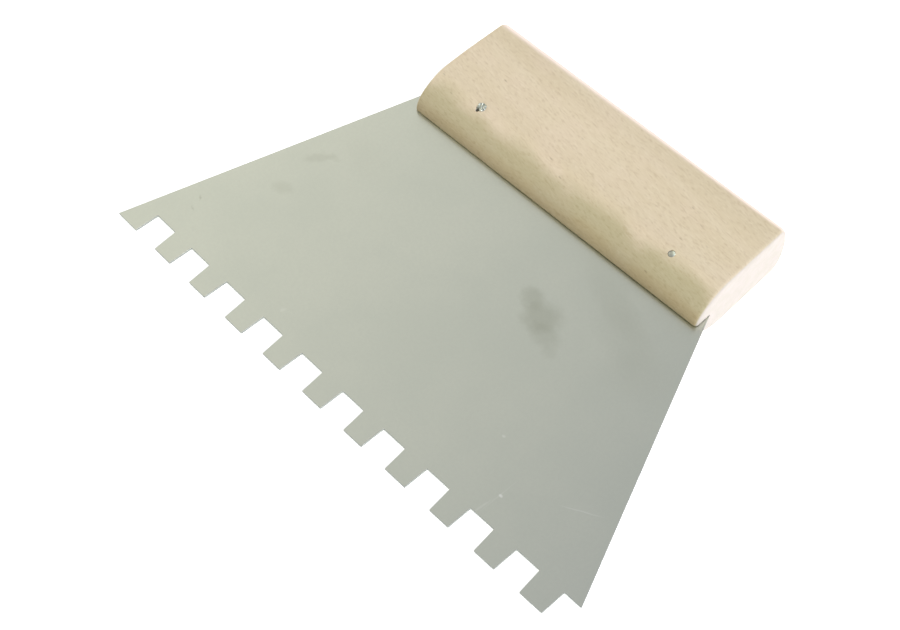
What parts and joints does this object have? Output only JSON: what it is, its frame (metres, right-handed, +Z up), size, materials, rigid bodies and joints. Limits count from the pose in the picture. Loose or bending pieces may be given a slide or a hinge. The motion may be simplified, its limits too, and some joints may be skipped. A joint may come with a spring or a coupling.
{
  "type": "notched trowel",
  "caption": "Notched spreader: a flat trapezoidal steel blade with square notches along its wide edge, slotted and pinned into a straight rounded beech handle.",
  "frame": {"origin": "centre of the handle's flat underside, midway along its length and its depth", "axes": "+X along the toothed edge towards the corner that ends in a part notch, +Y from the teeth towards the back of the handle, +Z up out of the handle's top face, square to the blade"},
  "size_m": [0.1742, 0.128, 0.0196],
  "materials": {
    "beech": "raw planed beech, not varnished, fine dark pores along the length",
    "blade_steel": "satin cold-rolled spring steel with faint smudges",
    "pin_steel": "dull wire, cut and hammered ends"
  },
  "bodies": {
    "root": {"handle": "beech", "blade": "blade_steel", "pin_left": "pin_steel", "pin_right": "pin_steel"}
  },
  "joints": []
}
